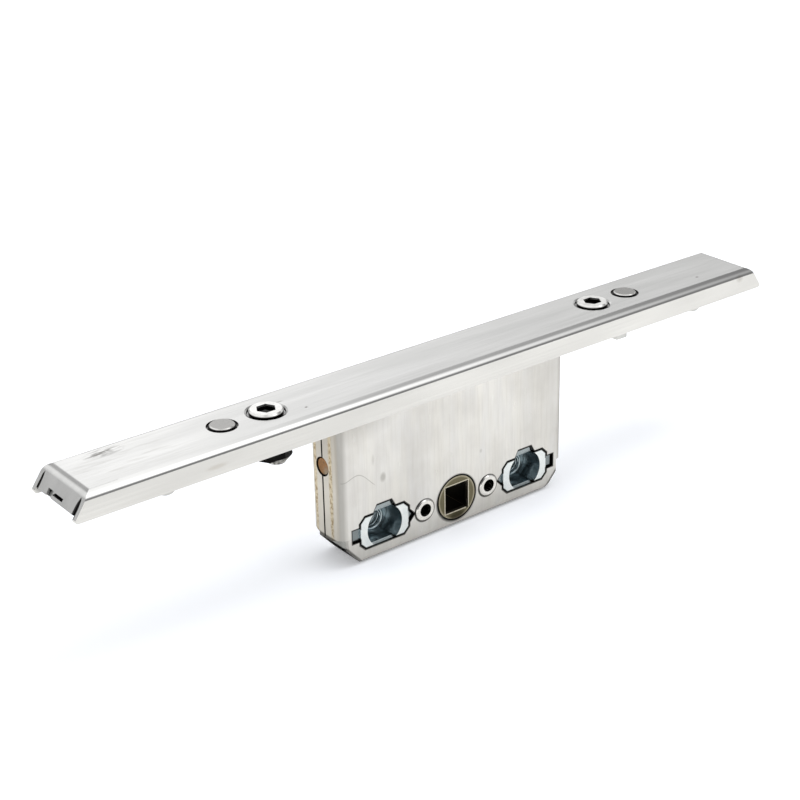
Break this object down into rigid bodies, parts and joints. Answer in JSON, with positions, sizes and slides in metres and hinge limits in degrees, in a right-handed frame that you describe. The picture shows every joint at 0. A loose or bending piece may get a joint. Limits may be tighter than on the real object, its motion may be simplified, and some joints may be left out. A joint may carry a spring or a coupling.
{
  "type": "window espagnolette gearbox",
  "caption": "Espagnolette gearbox for a window sash: channel faceplate over a flat sheet steel case with a square spindle socket, handle screw seats, a geared drive bar and clamp screws.",
  "frame": {"origin": "middle of the underside of the case", "axes": "+X along the faceplate, -Y out of the case's front face, +Z towards the faceplate"},
  "size_m": [0.1998, 0.0184, 0.0435],
  "materials": {
    "stainless_faceplate": "brushed along its length",
    "stainless_case": "satin rolled sheet",
    "zinc_casting": "bright passivated zinc die casting",
    "sintered_steel": "bronze toned sintered steel",
    "zinc_plated_steel": "bright zinc plated",
    "polished_steel": "polished",
    "spring_steel": "blank spring steel",
    "brass_pin": "dull copper toned"
  },
  "bodies": {
    "housing": {"faceplate": "stainless_faceplate", "front_case": "stainless_case", "rear_case": "stainless_case", "bearing_plate": "zinc_casting", "handle_insert_left": "zinc_casting", "handle_insert_right": "zinc_casting", "stop_pin_left": "brass_pin", "stop_pin_right": "brass_pin", "hollow_rivet_left": "polished_steel", "hollow_rivet_right": "polished_steel", "guide_post_left": "zinc_plated_steel", "guide_post_right": "zinc_plated_steel"},
    "follower": {"follower": "sintered_steel", "spindle_sleeve": "spring_steel"},
    "drive_bar": {"rack": "zinc_plated_steel", "drive_bar": "zinc_plated_steel", "coupling_pin_left": "zinc_plated_steel", "coupling_pin_right": "zinc_plated_steel"},
    "clamp_screw_left": {"clamp_screw_left": "polished_steel"},
    "clamp_screw_right": {"clamp_screw_right": "polished_steel"},
    "clamp_left": {"clamp_plate_left": "zinc_plated_steel", "clamp_nut_left": "polished_steel"},
    "clamp_right": {"clamp_plate_right": "zinc_plated_steel", "clamp_nut_right": "polished_steel"}
  },
  "joints": [
    {"name": "follower_turn", "type": "hinge", "parent": "housing", "child": "follower", "pos_m": [0, 0, 0.00765], "axis": [0, -1, 0], "range_deg": [0, 90]},
    {"name": "drive_slide", "type": "slide", "parent": "housing", "child": "drive_bar", "axis": [-1, 0, 0], "range_m": [0, 0.01806]},
    {"name": "clamp_screw_left_turn", "type": "hinge", "parent": "housing", "child": "clamp_screw_left", "pos_m": [-0.0484, 0, 0.0425], "axis": [0, 0, -1], "range_deg": [-180, 720]},
    {"name": "clamp_left_slide", "type": "slide", "parent": "housing", "child": "clamp_left", "axis": [0, 0, 1], "range_m": [-0.0004, 0.0016]},
    {"name": "clamp_screw_right_turn", "type": "hinge", "parent": "housing", "child": "clamp_screw_right", "pos_m": [0.0484, 0, 0.0425], "axis": [0, 0, -1], "range_deg": [-720, 180]},
    {"name": "clamp_right_slide", "type": "slide", "parent": "housing", "child": "clamp_right", "axis": [0, 0, 1], "range_m": [-0.0016, 0.0004]}
  ],
  "couplings": [
    {"joint": "follower_turn", "follows": "drive_slide", "rad_per_m": 86.957},
    {"joint": "clamp_screw_left_turn", "follows": "clamp_left_slide", "rad_per_m": 7854},
    {"joint": "clamp_screw_right_turn", "follows": "clamp_right_slide", "rad_per_m": 7854}
  ]
}
